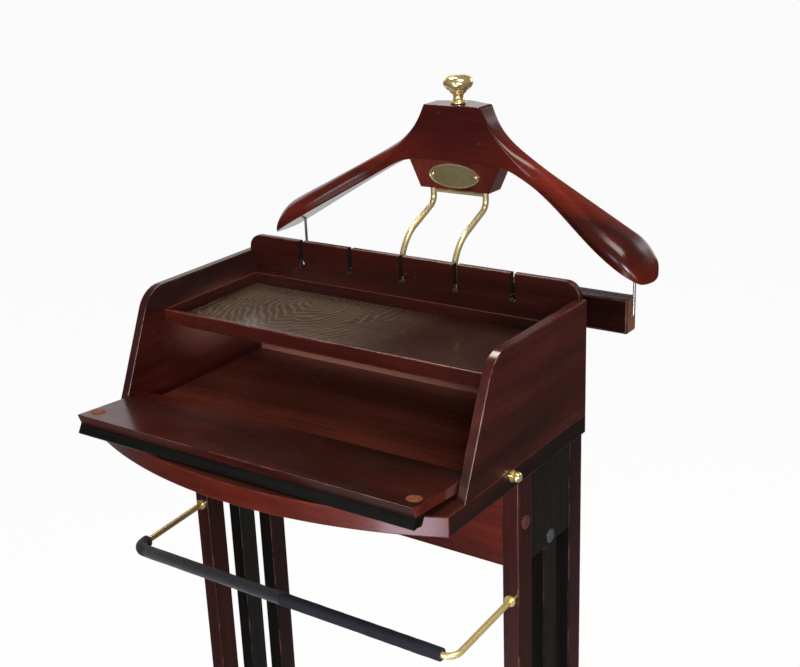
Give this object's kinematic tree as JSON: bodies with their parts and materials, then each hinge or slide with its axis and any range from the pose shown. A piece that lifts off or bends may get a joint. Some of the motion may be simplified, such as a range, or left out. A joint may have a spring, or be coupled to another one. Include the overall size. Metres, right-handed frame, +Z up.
{
  "type": "valet stand",
  "caption": "Free-standing wooden valet stand: organiser box with fall-front door and tray, slatted side frames, front bar, contour hanger and swinging trouser bar.",
  "frame": {"origin": "on the floor, under the middle of the bounding box", "axes": "+Z up, +Y towards the hanger at the back, +X to the right of a person facing the front"},
  "size_m": [0.4456, 0.4168, 1.116],
  "materials": {
    "mahogany": "dark red-brown mahogany, satin lacquer",
    "plywood": "red-brown stained plywood, glossy lacquer",
    "black_lacquer": "black satin lacquer over wood",
    "brass": "polished brass",
    "aged_brass": "aged brass, darkened in the middle, brighter at the rim",
    "steel": "bright drawn steel",
    "sleeve": "matt black foam rubber",
    "red_cap": "red-brown gloss plastic",
    "grey_cap": "grey-black gloss plastic",
    "pad": "brown, slightly worn",
    "dowel": "plain beech",
    "glide": "black plastic"
  },
  "bodies": {
    "stand": {"back_panel": "mahogany", "back_panel_screws": "steel", "bar_wire_left": "steel", "bar_wire_right": "steel", "base_board": "mahogany", "belt_peg_left": "brass", "belt_peg_right": "brass", "centre_slat_left": "black_lacquer", "centre_slat_right": "black_lacquer", "foot_glides": "glide", "foot_rail_left": "mahogany", "foot_rail_right": "mahogany", "frame_dowels": "dowel", "front_bar_ferrules": "brass", "front_bar_rod": "brass", "front_bar_sleeve": "sleeve", "front_rail": "mahogany", "front_rail_bolts": "steel", "front_rail_caps": "red_cap", "front_stile_left": "mahogany", "front_stile_right": "mahogany", "hanger": "mahogany", "hanger_knob": "brass", "hanger_post_left": "brass", "hanger_post_right": "brass", "knob_stud": "steel", "lower_rail": "mahogany", "lower_rail_bolts": "steel", "lower_rail_caps": "grey_cap", "middle_rail": "mahogany", "middle_rail_bolts": "steel", "middle_rail_caps": "grey_cap", "neck_block": "mahogany", "neck_screws": "steel", "oval_plate": "aged_brass", "panel_dowels": "dowel", "plate_pins": "brass", "post_block": "mahogany", "post_block_screws": "steel", "post_cross_bar": "brass", "rear_stile_left": "mahogany", "rear_stile_right": "mahogany", "shoe_rod_front": "brass", "shoe_rod_rear": "brass", "side_panel_left": "mahogany", "side_panel_right": "mahogany", "top_panel_left": "black_lacquer", "top_panel_right": "black_lacquer", "tray_bottom": "plywood", "tray_front_lip": "mahogany", "tray_rim_back": "mahogany", "tray_rim_left": "mahogany", "tray_rim_right": "mahogany"},
    "door": {"door_panel": "mahogany", "door_pull": "black_lacquer", "door_pads": "pad", "door_pins": "steel", "door_pull_screws": "steel"},
    "trouser_bar": {"trouser_bar": "mahogany"}
  },
  "joints": [
    {"name": "door_hinge", "type": "hinge", "parent": "stand", "child": "door", "pos_m": [0, -0.1143, 0.834], "axis": [-1, 0, 0], "range_deg": [0, 111.58]},
    {"name": "trouser_bar_hinge", "type": "hinge", "parent": "stand", "child": "trouser_bar", "pos_m": [0, 0.1761, 0.89331], "axis": [1, 0, 0], "continuous": true}
  ]
}
